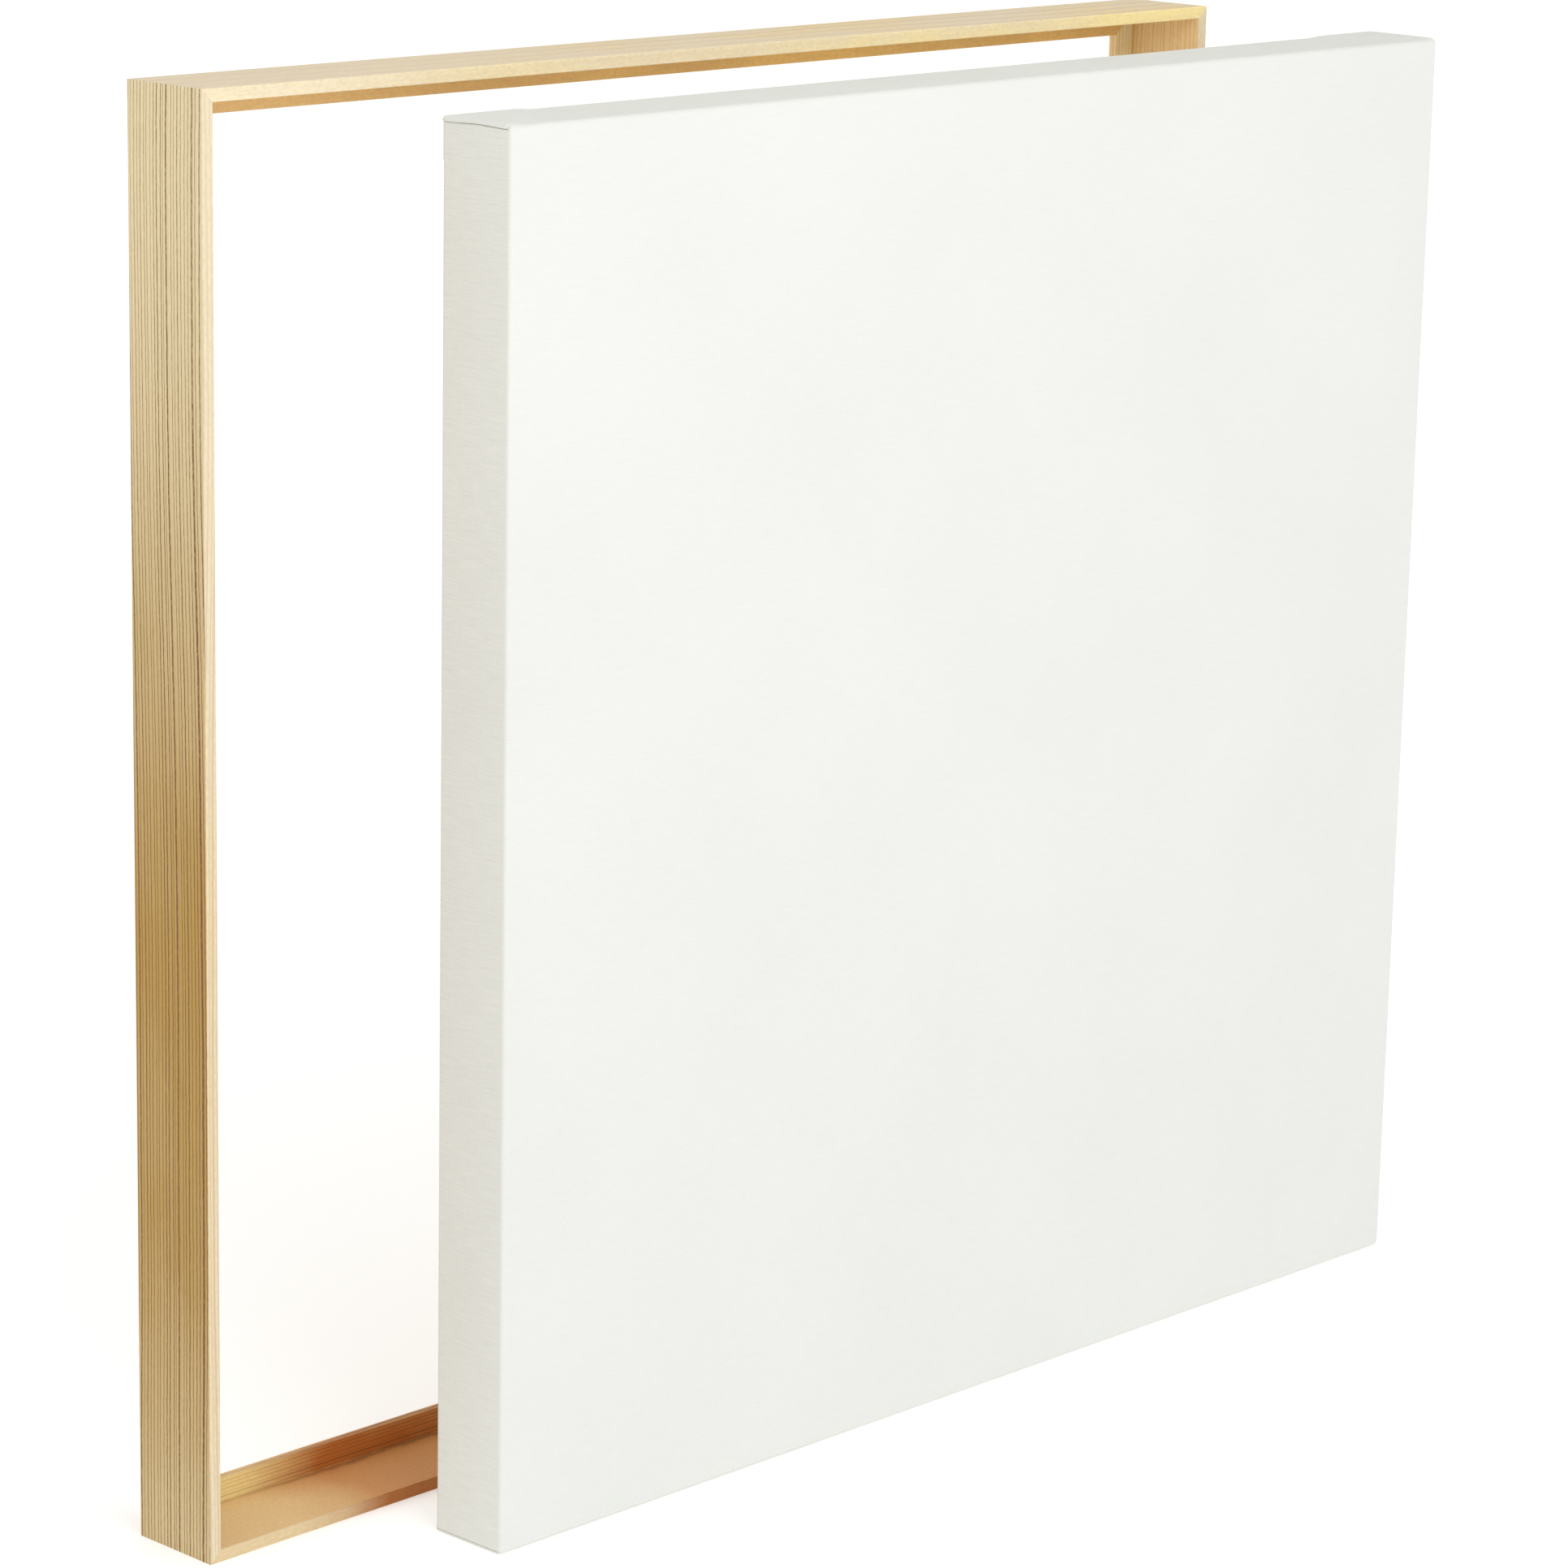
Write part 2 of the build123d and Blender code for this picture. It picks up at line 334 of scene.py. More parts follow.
def make_rail_faces_group():
    """Which face of the frame a point is on: inside the tray or behind, on the front edge, or on the lip.

    The distances in from the frame's outer planes tell them apart. The lip's front face is LIP_DEPTH from
    the back.
    """
    group, n, given, out = new_group(
        "rail_faces",
        [
            ("Place", "NodeSocketVector", None),
            ("Middle", "NodeSocketVector", None),
            ("Half Size", "NodeSocketVector", None),
            ("Worn Edge", "NodeSocketFloat", 0.0006),
        ],
        [("Inside", "NodeSocketFloat"), ("Front Edge", "NodeSocketFloat"), ("Lip", "NodeSocketFloat")],
    )
    from_middle = n.vector("SUBTRACT", given["Place"], given["Middle"])
    x, y, z = n.split(n.vector("SUBTRACT", given["Half Size"], n.vector("ABSOLUTE", from_middle)))
    facing_back = n.math("GREATER_THAN", n.split(from_middle)[1], 0.0)
    to_front = n.math("ADD", y, facing_back)
    uneven = n.math("MULTIPLY_ADD", n.noise(given["Place"], 260.0, 2.0), 1.6, 0.2)
    edge = n.math("MULTIPLY", given["Worn Edge"], uneven)
    far_edge = n.math("MULTIPLY", edge, 2.0)
    nearest = n.math("MINIMUM", to_front, n.math("MINIMUM", x, z))
    n.put(out["Inside"], n.ramp(nearest, edge, far_edge))
    n.put(out["Front Edge"], n.ramp(to_front, edge, far_edge, 1.0, 0.0))
    past_back = n.ramp(y, LIP_DEPTH - 0.8 * MM, LIP_DEPTH - 0.2 * MM)
    before_wall = n.ramp(y, LIP_DEPTH + 0.1 * MM, LIP_DEPTH + 0.6 * MM, 1.0, 0.0)
    on_lip = n.math("MULTIPLY", past_back, before_wall)
    n.put(out["Lip"], n.math("MULTIPLY", on_lip, facing_back))
    return group


def make_crease_shade_group():
    """Painted shade: a dark line under the folded edge at each top corner, told from the place on the flat
    cut.

    The line is a bell curve, exp(-(distance / Line Width)^2), just below the folded edge, whose lap is the
    one that the cloth is wrapped with. At the front the line curls down to meet it.
    """
    group, n, given, out = new_group(
        "fold_crease",
        [
            ("Flat Place", "NodeSocketVector", None),
            ("Half Size", "NodeSocketFloat", 0.3),
            ("Depth", "NodeSocketFloat", 0.04),
            ("Line Width", "NodeSocketFloat", 0.0003),
        ],
        [("Crease", "NodeSocketFloat"), ("On Sides", "NodeSocketFloat")],
    )
    gap = 0.2 * MM
    curl = 1.8 * MM
    at_top = n.math("GREATER_THAN", n.split(given["Flat Place"])[1], 0.0)
    x, y, _ = n.split(n.vector("ABSOLUTE", given["Flat Place"]))
    run = n.math("SUBTRACT", x, given["Half Size"])
    below = n.math("SUBTRACT", given["Half Size"], y)
    wave = n.math("SINE", n.math("MULTIPLY_ADD", run, 1 / LAP_WAVE_RUN, LAP_PHASE))
    full_lap = n.math("MULTIPLY_ADD", wave, LAP_WAVE, LAP)
    lap = n.math("MULTIPLY", full_lap, n.ramp(run, LAP_STARTS, LAP_IS_FULL))
    line_place = n.math("ADD", n.math("ADD", lap, gap), n.ramp(run, 0.3 * MM, 2.8 * MM, curl, 0.0))
    off = n.math("DIVIDE", n.math("SUBTRACT", below, line_place), given["Line Width"])
    line = n.math("EXPONENT", n.math("MULTIPLY", n.math("MULTIPLY", off, off), -1.0))
    starts = n.ramp(run, 0.1 * MM, 3.4 * MM)
    ends = n.ramp(n.math("SUBTRACT", given["Depth"], run), 0.0, 0.6 * MM)
    shown = n.math("MULTIPLY", at_top, n.math("MULTIPLY", starts, ends))
    n.put(out["Crease"], n.math("MULTIPLY", line, shown))
    past_edge = n.math("MAXIMUM", run, n.math("MULTIPLY", below, -1.0))
    n.put(out["On Sides"], n.ramp(past_edge, -3 * MM, 2 * MM))
    return group


PINE = make_pine_group()
WEAVE = make_weave_group()
RAIL_FACES = make_rail_faces_group()
CREASE = make_crease_shade_group()


# ---------------------------------------------------------------- materials

WOOD_SHINE = 0.35
THREADS_PER_METRE = 2000.0
# Painted shade: colour of the dark line in the crease under each top corner's folded edge
CREASE_SHADE_GREY = (96, 94, 86)

# Colours of the frame by face, partly the wood's own and partly painted light and shade (painted shade in the
# more saturated tan inside the tray): outside, inside the tray and behind, on the lip's front face, on the
# front edge
Faces = namedtuple("Faces", "outside inside lip edge")

# Where along a rail, in metres from the middle or up from the floor, a warmer tint starts and is at its full
# share, and where it then fades
Band = namedtuple("Band", "starts is_full share fades has_faded", defaults=(None, None))


def sawn_from_log(n, along_x, shift):
    """Object coordinates turned so that the length of the piece is Z, moved along the log by the shift."""
    mapping = n.node("ShaderNodeMapping")
    mapping.inputs["Rotation"].default_value = (0, math.radians(-90 if along_x else 0), 0)
    mapping.inputs["Location"].default_value = (0, 0, shift)
    n.put(mapping.inputs["Vector"], n.node("ShaderNodeTexCoord").outputs["Object"])
    return mapping.outputs[0]


def finish_wood(n, shader, wood):
    n.put(shader.inputs["Base Color"], wood["Color"])
    n.put(shader.inputs["Roughness"], wood["Roughness"])
    bump(n, shader, wood["Height"], 0.06 * MM)


def bar_material(name, along_x, pith, ring_width, early, late, tint, wander=0.002, shift=0.0):
    """Planed softwood, the same on all its faces."""
    material, n, shader = new_material(name, specular=WOOD_SHINE)
    wood = place_group(
        n, PINE,
        Place=sawn_from_log(n, along_x, shift), Pith_X=pith[0], Pith_Y=pith[1],
        Ring_Width=ring_width, Wander=wander,
        Early_Wood=linear(*early), Late_Wood=linear(*late), Warm_Tint=linear(*tint),
        Line_Strength=0.8, Tint_Strength=0.5,
    )
    finish_wood(n, shader, wood)
    return material


def by_face(n, faces, colours):
    """One of four colours for each point of the frame, by the face it is on, which paints light and shade in
    part.
    """
    within = n.mix(faces["Lip"], linear(*colours.inside), linear(*colours.lip))
    around = n.mix(faces["Inside"], linear(*colours.outside), within)
    return n.mix(faces["Front Edge"], around, linear(*colours.edge))


def rail_material(name, along_x, pith, ring_width, colours, tints, lines, tinting, band=None,
                  wander=0.002, shift=0.0, edge_tint=0.3, patches=0.35):
    """Sanded pine of the frame, coloured by face: partly the wood's own colours and partly painted light and
    shade.

    The band, if given, is a warmer stretch of the rail: painted shadow of the canvas on the bottom rail,
    partly the wood's figure and partly painted light on the top rail, a warmer middle on the left rail. The
    edge tint is how much of the tint shows on the front edge, and the patches are how uneven the tint is.
    Ring lines are fainter where the wood is pale.
    """
    material, n, shader = new_material(name, specular=WOOD_SHINE)
    place = n.node("ShaderNodeTexCoord").outputs["Object"]
    faces = place_group(
        n, RAIL_FACES, Place=place, Middle=frame_middle, Half_Size=frame_half, Worn_Edge=FACE_COLOUR_OVERLAP,
    )
    strength = tinting
    if band is not None:
        length_axis = 0 if along_x else 2
        along = n.math("MULTIPLY_ADD", n.noise(place, 25.0, 2.0), 0.03, n.split(place)[length_axis])
        strength = n.math("ADD", n.ramp(along, band.starts, band.is_full, 0.0, band.share), tinting)
        if band.fades is not None:
            fading = n.ramp(along, band.fades, band.has_faded, 1.0, 0.4)
            strength = n.math("MULTIPLY", strength, fading)
    plain_edge = n.math("MULTIPLY", n.math("MULTIPLY_ADD", faces["Front Edge"], -0.8, 1.0),
                        n.math("MULTIPLY_ADD", strength, 0.5, 0.5))
    tinted_edge = n.math("MULTIPLY_ADD", faces["Front Edge"], edge_tint - 1.0, 1.0)
    wood = place_group(
        n, PINE,
        Place=sawn_from_log(n, along_x, shift), Pith_X=pith[0], Pith_Y=pith[1],
        Ring_Width=ring_width, Wander=wander,
        Early_Wood=by_face(n, faces, colours), Late_Wood=linear(*BROWN_LINE),
        Warm_Tint=by_face(n, faces, tints),
        Line_Strength=n.math("MULTIPLY", plain_edge, lines),
        Tint_Strength=n.math("MULTIPLY", tinted_edge, strength), Tint_Patches=patches,
    )
    finish_wood(n, shader, wood)
    return material


def cloth_material(name, front, sides, depth, slub, front_share=1.0, crease_shade=0.0):
    """Cotton canvas. The weave follows the flat cut through the piece's UV map, which is in metres.

    The front share is how much of the weave still shows on the front, under its thicker coats of primer.
    """
    material, n, shader = new_material(name, roughness=0.85, specular=0.25)
    flat = n.node("ShaderNodeUVMap", uv_map="cut").outputs[0]
    cut = place_group(
        n, CREASE, Flat_Place=flat, Half_Size=wrap_half, Depth=wrap_depth, Line_Width=0.22 * MM,
    )
    weave = place_group(n, WEAVE, Flat_Place=flat, Threads=THREADS_PER_METRE, Slub=slub)
    shown = n.ramp(cut["On Sides"], 0.0, 1.0, front_share, 1.0)
    clouds = n.math("MULTIPLY", n.math("SUBTRACT", n.noise(flat, 9.0, 2.0), 0.5), 0.06)
    between_threads = n.math("SUBTRACT", weave["Shade"], 0.5)
    thread_shade = n.math("MULTIPLY", between_threads, n.math("MULTIPLY", shown, 0.13))
    light = n.math("ADD", n.math("ADD", thread_shade, clouds), 1.0)
    plain = n.mix(cut["On Sides"], linear(*front), linear(*sides))
    shaded = n.mix(1.0, plain, n.join(light, light, light), "MULTIPLY")
    # painted shade: the crease line under the folded edge darkens the primer
    crease_shading = n.math("MULTIPLY", cut["Crease"], crease_shade)
    n.put(shader.inputs["Base Color"], n.mix(crease_shading, shaded, linear(*CREASE_SHADE_GREY)))
    bump(n, shader, n.math("MULTIPLY", weave["Height"], shown), depth)
    return material


def steel_material(name, colour, roughness):
    """Drawn steel with faint streaks and a little tarnish."""
    material, n, shader = new_material(name, roughness, metallic=1.0)
    place = n.node("ShaderNodeTexCoord").outputs["Object"]
    streaks = n.noise(place, 900.0, 3.0)
    n.put(shader.inputs["Base Color"], n.mix(streaks, linear(*[v * 0.78 for v in colour]), linear(*colour)))
    n.put(shader.inputs["Roughness"], n.ramp(streaks, 0.3, 0.7, roughness - 0.08, roughness + 0.12))
    bump(n, shader, streaks, 0.02 * MM)
    return material


PRIMED_FRONT = (225, 226, 222)
PRIMED_SIDES = (226, 227, 220)
UNBLEACHED = (218, 206, 180)
# The primed cloth carries the painted crease shade at its top corners
PRIMED = cloth_material(
    "primed_cotton", PRIMED_FRONT, PRIMED_SIDES, depth=0.06 * MM, slub=1.0, front_share=0.35, crease_shade=0.75,
)
RAW = cloth_material("raw_cotton_back", UNBLEACHED, UNBLEACHED, depth=0.12 * MM, slub=1.0)

CREAM = (235, 219, 178)
PALE_CREAM = (233, 217, 188)
PALE_EDGE = (235, 221, 191)
# Painted shade: the more saturated tan of the faces inside the tray and of the lips, standing for their shade
INSIDE_SHADE_TAN = (236, 203, 146)
STRAW = (226, 202, 152)
BROWN_LINE = (120, 80, 38)
KEY_PALE = (214, 184, 134)
KEY_LINE = (170, 126, 78)
KEY_TINT = (196, 150, 98)


# ---------------------------------------------------------------- the wrapped cloth

def fold(across, radius):
    """Fold along the line across = 0: distance in from the fold's edge, and which layer, from -1 to 1.

    Within a quarter turn of the edge the cloth runs round a half circle of this radius, and further in it
    lies flat, where the distance is the plain one except for what the half circle takes up, which fades out.
    """
    turn = np.maximum(radius, 1e-7) * math.pi / 2
    angle = np.clip(across / turn, -1, 1) * math.pi / 2
    spare = turn - radius
    outside = np.abs(across) - spare * np.exp(-np.maximum(np.abs(across) - turn, 0) / LAYER_EASE)
    inside = radius * (1 - np.cos(angle))
    return np.where(np.abs(across) < turn, inside, outside), np.sin(angle)


def band_on_back(run, below):
    """The cloth of a left or right side past the back edge, with its ends folded under along 45 degrees.

    Distance in over the back, distance down from the top or bottom, and how many layers up it lies.
    """
    over = np.maximum(run - wrap_depth, 0)
    inward, ply = fold((below - over) / math.sqrt(2), LAYER / 2)
    mitre = (over > 0) & (below < 2 * TURN_OVER)
    centre = (over + below) / 2
    side_in = np.where(mitre, centre - inward / math.sqrt(2), over)
    side_down = np.where(mitre, centre + inward / math.sqrt(2), below)
    side_level = np.where(mitre, 0.5 - ply / 2, 0) * smooth(over / BACK_EASE)
    return side_in, side_down, side_level * (1 + smooth(1 - below / (1.5 * MM)))


def bend_and_stack(x, y, z, level, on_back, behind):
    """Points on a box with sharp edges, drawn to their bend radius and stacked in layers.

    Each goes to core + direction * (radius + level * LAYER), where the core is its nearest point of the box
    shrunk by the radius, and the direction is from there to the sharp point. On the back the layers are
    stacked straight away from the bars instead.
    """
    sharp = np.stack([x, y, z], axis=-1)
    radius = FRONT_RADIUS + (BACK_RADIUS - FRONT_RADIUS) * y / wrap_depth
    core = np.stack([np.minimum(x, wrap_half - radius), np.clip(y, radius, wrap_depth - radius),
                     np.minimum(z, wrap_half - radius)], axis=-1)
    outwards = sharp - core
    outwards /= np.linalg.norm(outwards, axis=-1, keepdims=True)
    reach = radius + level * (1 - on_back) * LAYER
    placed = core + outwards * reach[..., None]
    placed[..., 1] += (behind + level * on_back) * PRESSED
    return placed


def wrap_cloth(across, up):
    """Place of each point of the flat cut on the stretcher.

    The cut is laid out with its centre at (0, 0). What lies beyond a front edge goes down the side and onto
    the back. In each corner the spare square is folded along its diagonal into a triangle that lies on the
    top or bottom side, under that side's own cloth, whose folded edge runs along the corner of the stretcher,
    and at the top laps a little over the left and right sides.
    """
    half, depth = wrap_half, wrap_depth
    a, b = np.abs(across) - half, np.abs(up) - half
    beside, above = a > 0, b > 0
    run = np.maximum(a, 0) * beside
    rise = np.maximum(b, 0) * above
    tuck = smooth(np.maximum(rise, run) / LAYER_EASE)
    ply = LAYER / 2 * np.where(above, tuck, 1)

    # distance in from the corner of the stretcher, and distance down the side and over the back
    spare = beside & above
    inward_edge, ply_edge = fold(a, ply)
    inward_diagonal, ply_diagonal = fold((rise - run) / math.sqrt(2), LAYER / 2)
    middle = (run + rise) / 2
    inward = np.where(spare, middle - inward_diagonal / math.sqrt(2), inward_edge)
    along = np.where(spare, middle + inward_diagonal / math.sqrt(2), rise)
    full_lap = LAP + LAP_WAVE * np.sin(along / LAP_WAVE_RUN + LAP_PHASE)
    lap = full_lap * smooth((along - LAP_STARTS) / (LAP_IS_FULL - LAP_STARTS)) * (up > 0)
    near_edge = np.exp(-(a / LAYER_EASE) ** 2) * (rise >= run)
    inward = inward + np.where(spare & (rise >= run), inward_edge - np.abs(a), 0) * near_edge
    inward = inward - lap * near_edge * tuck * above * (along < depth)

    # top and bottom sides, with the folded corners
    over_back = np.maximum(along - depth, 0)
    x = half - np.maximum(inward, 0)
    y = np.clip(along, 0, depth)
    z = half - over_back + np.minimum(inward, 0)
    clear_of_fold = 12 * MM
    x = np.where(above & ~beside & (a < -clear_of_fold), np.abs(across), x)
    under = smooth(over_back / BACK_EASE) * smooth((over_back - inward) / LAYER_EASE + 1) * 2
    flap = smooth((along - np.maximum(inward, 0)) / FLAP_EASE + 1) * tuck
    lower = np.where(rise >= run, 1.5 - ply_edge / 2, 0)
    tucked = 0.5 + ply_diagonal / 2
    level = np.where(spare, np.where(rise >= run, lower * tucked, tucked), flap * lower)
    level = level * np.where(above, tuck, 0)
    behind = under * above

    # left and right sides, with the band on the back folded under at its ends
    side_in, side_down, side_level = band_on_back(run, np.maximum(-b, 0))
    beside_only = beside & ~above
    x = np.where(beside_only, half - side_in, x)
    y = np.where(beside_only, np.clip(run, 0, depth), y)
    z = np.where(beside_only, half - side_down, z)
    level = np.where(beside_only, 0, level)
    behind = np.where(beside_only, side_level, behind)

    front = ~beside & ~above
    x = np.where(front, np.abs(across), x)
    y = np.where(front, 0, y)
    z = np.where(front, np.abs(up), z)
    level = np.where(front, 0, level)

    on_back = smooth(over_back / BACK_EASE) * above
    placed = bend_and_stack(x, y, z, level, on_back, behind)
    placed[..., 0] *= np.sign(across)
    placed[..., 2] *= np.sign(up)
    return placed + [canvas_middle[0], wrap_front, canvas_middle[2]]


def cut_lines():
    """Distances of the grid lines from the centre of the cut: close at bends, folds and layered corners."""
    bend = np.array([0, 0.065, 0.13, 0.195, 0.26, 0.5, 0.85, 1.3, 1.9, 2.6, 3.5, 5.0])
    fine = np.concatenate([bend, [7.0, 9.5, 12.0, 14.5, 17.0]]) * MM
    layered = 62  # millimetres in from the edge
    front = np.linspace(0, wrap_half - layered * MM, 12)[:-1]
    over_layers = wrap_half - np.arange(layered, 17, -2.5) * MM
    near_edge = wrap_half - fine[::-1]
    mid_side = [18.9 * MM, 20.8 * MM]
    side = wrap_half + np.concatenate([fine[1:], mid_side, wrap_depth - fine[::-1][:-1]])
    band = wrap_half + wrap_depth + np.concatenate([fine[:-1], [TURN_OVER]])
    half_lines = np.unique(np.round(np.concatenate([front, over_layers, near_edge, side, band]), 8))
    return np.concatenate([-half_lines[::-1], half_lines[half_lines > 0]])


def make_cloth():
    """The whole cloth: a grid over the flat cut, each point put in its wrapped place, then thickened.

    Each grid cell is two triangles, cut along the diagonal that the folds run along. Faces next to a corner
    show primer on both sides, because only the primed side shows there.
    """
    lines = cut_lines()
    across, up = np.meshgrid(lines, lines, indexing="ij")
    points = wrap_cloth(across, up).reshape(-1, 3)
    count = len(lines)
    corner = (np.arange(count - 1)[:, None] * count + np.arange(count - 1)).ravel()
    right, top, far = corner + count, corner + 1, corner + count + 1
    middle_x = ((across[:-1, :-1] + across[1:, 1:]) / 2).ravel()
    middle_z = ((up[:-1, :-1] + up[1:, 1:]) / 2).ravel()
    same = middle_x * middle_z > 0
    in_band = (np.abs(middle_x) > wrap_half + wrap_depth) & (np.abs(middle_z) < wrap_half)
    rising = (same != in_band)[:, None]
    first = np.where(rising, np.stack([corner, right, far], 1), np.stack([corner, right, top], 1))
    second = np.where(rising, np.stack([corner, far, top], 1), np.stack([right, far, top], 1))
    uv = np.stack([across.ravel(), up.ravel()], axis=1)
    cloth = mesh_object("cotton_canvas", points, np.concatenate([first, second]), PRIMED, uv)
    for material in (RAW, PRIMED, PRIMED):
        cloth.data.materials.append(material)
    corner_place = wrap_half + 1 * MM
    corner_reach = 3 * MM
    to_corner = np.maximum(np.abs(np.abs(middle_x) - corner_place), np.abs(np.abs(middle_z) - corner_place))
    slots = np.where(to_corner < corner_reach, 2, 0).astype(np.int32)
    cloth.data.polygons.foreach_set("material_index", np.tile(slots, 2))
    thick = cloth.modifiers.new("thickness", "SOLIDIFY")
    thick.thickness = CLOTH
    thick.offset = 0.0
    thick.material_offset = 1
    thick.material_offset_rim = 1
    return cloth, 2 * lines[-1]


cloth, cut_side = make_cloth()
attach(cloth, "stretched_canvas")
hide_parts("canvas_cloth")


# ---------------------------------------------------------------- finishes of the carried-over pieces

def finish_node(name, material):
    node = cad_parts[name]
    node.data.materials.clear()
    node.data.materials.append(material)


frame_pine = {
    "left": rail_material(
        "frame_pine_left", along_x=False, pith=(-0.50, -0.12), ring_width=1.45 * MM,
        colours=Faces(outside=CREAM, inside=INSIDE_SHADE_TAN, lip=INSIDE_SHADE_TAN, edge=(232, 218, 188)),
        tints=Faces(
            outside=(186, 149, 76), inside=(214, 168, 106), lip=(214, 168, 106), edge=(230, 198, 148),
        ),
        lines=2.1, tinting=0.08, band=Band(0.60, 0.26, 0.95, fades=0.18, has_faded=-0.02),
        wander=0.0018, patches=0.15,
    ),
    # Painted light: the near-white lip and pale inside stand for light on faces that the canvas and top rail
    # shade
    "right": rail_material(
        "frame_pine_right", along_x=False, pith=(0.43, -0.12), ring_width=1.7 * MM,
        colours=Faces(outside=CREAM, inside=(242, 214, 162), lip=(255, 248, 212), edge=PALE_EDGE),
        tints=Faces(
            outside=(214, 180, 122), inside=(236, 200, 140), lip=(255, 238, 190), edge=(236, 206, 156),
        ),
        lines=0.6, tinting=0.4, shift=0.7,
    ),
    # Partly the wood's yellow figure, partly painted light: near-white tints towards the middle brighten
    # faces the canvas shades
    "top": rail_material(
        "frame_pine_top", along_x=True, pith=(-0.42, -0.10), ring_width=6.5 * MM,
        colours=Faces(outside=PALE_CREAM, inside=INSIDE_SHADE_TAN, lip=INSIDE_SHADE_TAN, edge=(236, 222, 192)),
        tints=Faces(
            outside=(236, 214, 168), inside=(252, 220, 152), lip=(252, 220, 150), edge=(255, 236, 172),
        ),
        lines=0.25, tinting=0.15, band=Band(-0.27, 0.05, 0.85),
        wander=0.004, shift=1.9, edge_tint=1.0, patches=0.9,
    ),
    # Painted shadow: the dark red-brown tints, in a band from behind the canvas's left edge, paint the
    # canvas's shadow
    "bottom": rail_material(
        "frame_pine_bottom", along_x=True, pith=(-0.18, 0.03), ring_width=1.7 * MM,
        colours=Faces(outside=CREAM, inside=INSIDE_SHADE_TAN, lip=(250, 228, 162), edge=(228, 207, 166)),
        tints=Faces(
            outside=(150, 88, 40), inside=(212, 150, 90), lip=(194, 114, 48), edge=(170, 102, 44),
        ),
        lines=0.9, tinting=0.04, band=Band(-0.285, -0.215, 1.25, fades=-0.15, has_faded=-0.05),
        shift=3.1, edge_tint=1.0,
    ),
}
BAR_TINT = (206, 160, 104)
BAR_TINT_DEEP = (204, 158, 100)
bar_pine = {
    "left": bar_material(
        "bar_pine_left", False, (-0.12, 0.09), 3.8 * MM, STRAW, BROWN_LINE, BAR_TINT,
    ),
    "right": bar_material(
        "bar_pine_right", False, (0.22, -0.14), 3.3 * MM, STRAW, BROWN_LINE, BAR_TINT_DEEP, shift=1.3,
    ),
    "top": bar_material(
        "bar_pine_top", True, (-0.42, 0.02), 3.5 * MM, STRAW, BROWN_LINE, BAR_TINT, shift=2.4,
    ),
    "bottom": bar_material(
        "bar_pine_bottom", True, (0.10, 0.06), 4.1 * MM, STRAW, BROWN_LINE, BAR_TINT_DEEP, shift=3.3,
    ),
}
key_wood = {
    lie: bar_material(
        f"key_wood_{lie}", lie == "level", (0.02, 0.05), 1.6 * MM, KEY_PALE, KEY_LINE, KEY_TINT, wander=0.001,
    )
    for lie in ("upright", "level")
}
for side in SIDES:
    finish_node(f"frame_rail_{side}", frame_pine[side])
    finish_node(f"stretcher_bar_{side}", bar_pine[side])

STAPLE_STEEL = steel_material("staple_wire", (196, 198, 200), 0.32)
NAIL_STEEL = steel_material("nail_strip", (150, 152, 156), 0.42)
for side in SIDES:
    finish_node(f"staples_{side}", STAPLE_STEEL)
finish_node("frame_corner_nails", NAIL_STEEL)
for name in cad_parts:
    if name.startswith("corner_key_"):
        in_level_bar = "_top_bar_" in name or "_bottom_bar_" in name
        finish_node(name, key_wood["upright" if in_level_bar else "level"])


# ---------------------------------------------------------------- floor, lights and camera

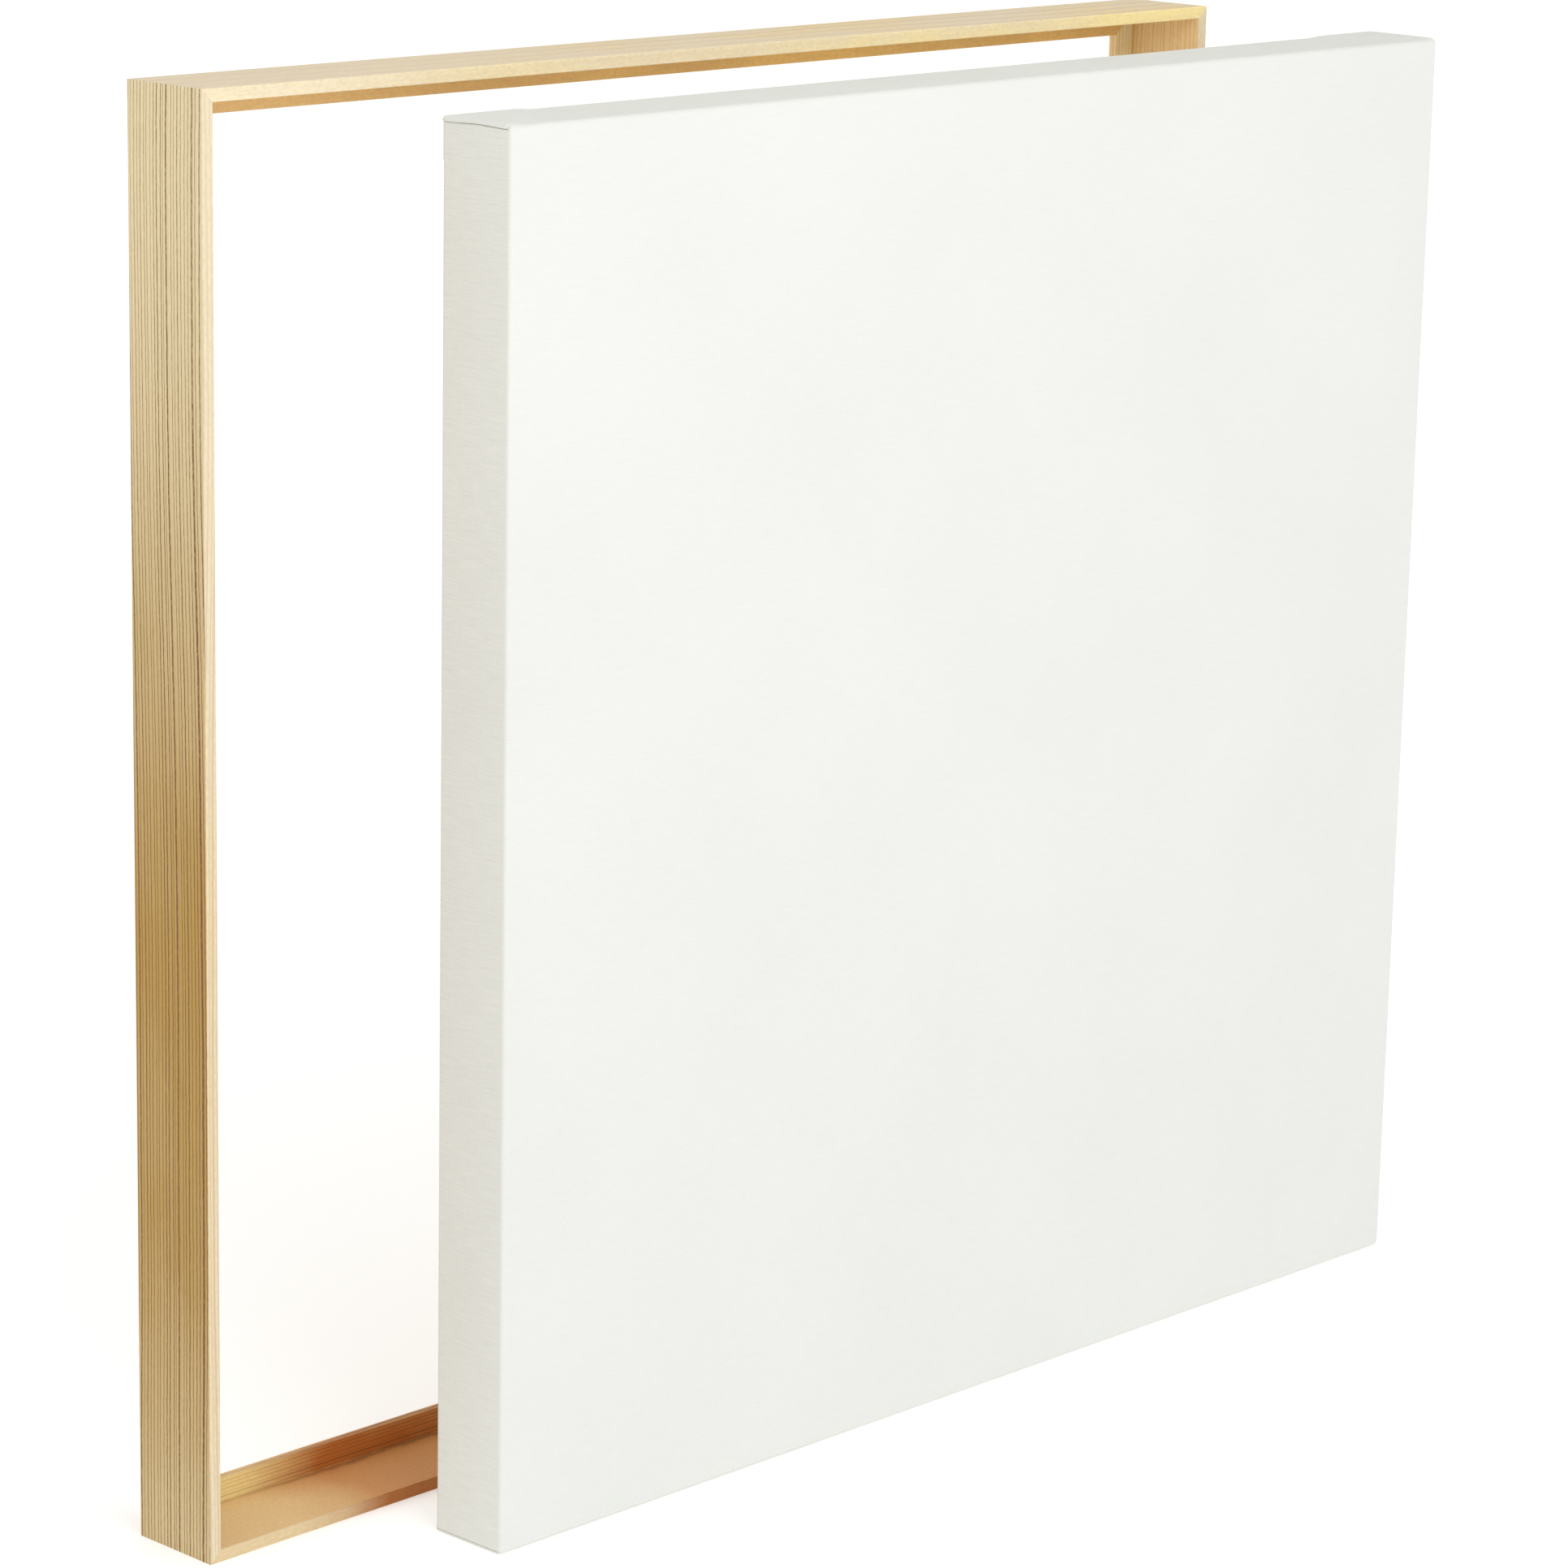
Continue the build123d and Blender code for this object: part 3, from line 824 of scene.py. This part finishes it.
def make_stage():
    """Wide white floor that glows a little, and an even surround that lights less brightly than it looks."""
    material, n, shader = new_material("white_floor", roughness=0.9, specular=0.1)
    place = n.node("ShaderNodeTexCoord").outputs["Object"]
    white = n.mix(n.noise(place, 3.0), linear(242, 242, 241), linear(245, 245, 244))
    n.put(shader.inputs["Base Color"], white)
    shader.inputs["Emission Color"].default_value = (1.0, 1.0, 1.0, 1.0)
    x, y, _ = n.split(place)
    from_object = n.vector("LENGTH", n.join(x, y, 0.0))
    near, far = 0.35, 1.6
    near_glow, far_glow = 0.31, 0.36
    glow = n.ramp(from_object, near, far, near_glow, far_glow)
    n.put(shader.inputs["Emission Strength"], glow)
    reach = 30.0
    corners = [(-reach, -reach, 0), (reach, -reach, 0), (reach, reach, 0), (-reach, reach, 0)]
    floor = mesh_object("floor", corners, [(0, 1, 2, 3)], material)

    world = bpy.data.worlds.new("studio")
    bpy.context.scene.world = world
    world.use_nodes = True
    n = Nodes(world.node_tree)
    background = world.node_tree.nodes["Background"]
    background.inputs["Color"].default_value = (1.0, 1.0, 1.0, 1.0)
    seen = n.node("ShaderNodeLightPath").outputs["Is Camera Ray"]
    lit, looks = 0.8, 1.0
    n.put(background.inputs["Strength"], n.math("MULTIPLY_ADD", seen, looks - lit, lit))


def soft_lamp(name, place, aim, width, height, power):
    data = bpy.data.lights.new(name, "AREA")
    data.shape = "RECTANGLE"
    data.size, data.size_y = width, height
    data.energy = power
    lamp = link(bpy.data.objects.new(name, data))
    lamp.location = place
    lamp.rotation_euler = (Vector(aim) - Vector(place)).to_track_quat("-Z", "Y").to_euler()


def make_camera():
    """Long lens from the left, a little above the top of the canvas, with a slight roll."""
    data = bpy.data.cameras.new("camera")
    data.lens = 120.55
    data.sensor_width = 36.0
    data.clip_end = 100.0
    camera = link(bpy.data.objects.new("camera", data))
    yaw, pitch, roll = (math.radians(angle) for angle in (46.31, 13.67, 1.18))
    ahead = Vector((math.sin(yaw) * math.cos(pitch), math.cos(yaw) * math.cos(pitch), -math.sin(pitch)))
    right = Vector((math.cos(yaw), -math.sin(yaw), 0))
    above = right.cross(ahead)
    rolled_right = right * math.cos(roll) + above * math.sin(roll)
    rolled_above = above * math.cos(roll) - right * math.sin(roll)
    turned = Matrix((rolled_right, rolled_above, -ahead)).transposed()
    place = Vector(cloth_low) + Vector((-1.4130, -1.5056, 0.8375))
    camera.matrix_world = Matrix.Translation(place) @ turned.to_4x4()
    bpy.context.scene.camera = camera


make_stage()
soft_lamp("key", (-0.41, -1.28, 1.60), (-0.05, -0.06, 0.5), width=1.1, height=0.9, power=8.3)
soft_lamp("fill", (-1.35, -1.6, 0.8), (-0.1, 0, 0.45), width=0.9, height=0.5, power=1.8)
make_camera()
bpy.context.scene.view_settings.view_transform = "Standard"
